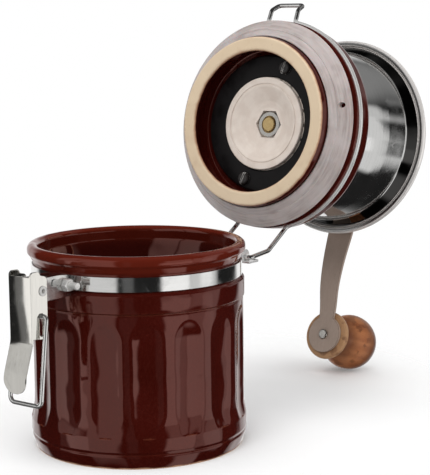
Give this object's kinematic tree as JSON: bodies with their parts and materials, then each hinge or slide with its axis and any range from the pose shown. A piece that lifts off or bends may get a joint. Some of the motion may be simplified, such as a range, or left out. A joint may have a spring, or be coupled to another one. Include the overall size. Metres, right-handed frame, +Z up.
{
  "type": "manual coffee grinder",
  "caption": "Glazed fluted ceramic jar with an open clamp lid that carries a hand mill, steel hopper and wooden-knob crank.",
  "frame": {"origin": "middle of the jar's flat foot", "axes": "+Z up, +X from the jar's axis to the lid hinge, -X to the latch"},
  "size_m": [0.2994, 0.1184, 0.2208],
  "materials": {
    "burgundy_glaze": "gloss",
    "seal_rubber": "matte",
    "bright_steel": "polished",
    "wire_steel": "polished",
    "brushed_crank_steel": "satin",
    "black_cast": "satin",
    "burr_ceramic": "matte",
    "shaft_brass": "satin",
    "fastener_steel": "satin",
    "knob_wood": "satin"
  },
  "bodies": {
    "jar_body": {"jar": "burgundy_glaze", "neck_band": "bright_steel", "clamp_bolt": "fastener_steel", "clamp_nut": "fastener_steel", "latch_bracket": "bright_steel", "lever_pin": "fastener_steel", "hinge_bracket": "bright_steel", "hinge_rivets": "fastener_steel"},
    "lever_body": {"latch_lever": "bright_steel"},
    "bail_body": {"latch_bail": "wire_steel"},
    "lid_assembly": {"lid_body": "burgundy_glaze", "lid_gasket": "seal_rubber", "lid_wire": "wire_steel", "mill_housing": "black_cast", "lower_bush": "shaft_brass", "fixed_burr": "burr_ceramic", "mill_screws": "fastener_steel", "screw_nuts": "fastener_steel", "hopper_bowl": "bright_steel", "shaft_stirrup": "fastener_steel", "upper_bush": "shaft_brass", "thrust_washer": "fastener_steel"},
    "crank_body": {"mill_shaft": "shaft_brass", "grinding_disc": "burr_ceramic", "burr_washer": "fastener_steel", "burr_nut": "fastener_steel", "crank_seat_nut": "fastener_steel", "crank_arm": "brushed_crank_steel", "crank_cap_nut": "fastener_steel", "knob_pin": "fastener_steel", "knob_washer": "fastener_steel"},
    "adjuster_body": {"adjusting_nut": "fastener_steel"},
    "knob_body": {"crank_knob": "knob_wood"}
  },
  "joints": [
    {"name": "lid_hinge", "type": "hinge", "parent": "jar_body", "child": "lid_assembly", "pos_m": [0.0743, 0, 0.0858], "axis": [0, 1, 0], "range_deg": [-99.8, 0]},
    {"name": "latch_lever_pivot", "type": "hinge", "parent": "jar_body", "child": "lever_body", "pos_m": [-0.0754, 0, 0.09], "axis": [0, 1, 0], "range_deg": [0, 60]},
    {"name": "bail_pivot", "type": "hinge", "parent": "lever_body", "child": "bail_body", "pos_m": [-0.0765, 0, 0.0783], "axis": [0, 1, 0], "range_deg": [0, 115]},
    {"name": "crank_turn", "type": "hinge", "parent": "lid_assembly", "child": "crank_body", "pos_m": [0.15021, 0, 0.14809], "axis": [0.9854, 0, -0.1702], "continuous": true},
    {"name": "grind_adjuster", "type": "hinge", "parent": "crank_body", "child": "adjuster_body", "pos_m": [0.15021, 0, 0.14809], "axis": [0.9854, 0, -0.1702], "range_deg": [-180, 360]},
    {"name": "knob_spin", "type": "hinge", "parent": "crank_body", "child": "knob_body", "pos_m": [0.17036, -0.00625, 0.02357], "axis": [0.9409, -0.0091, -0.3385], "continuous": true}
  ]
}
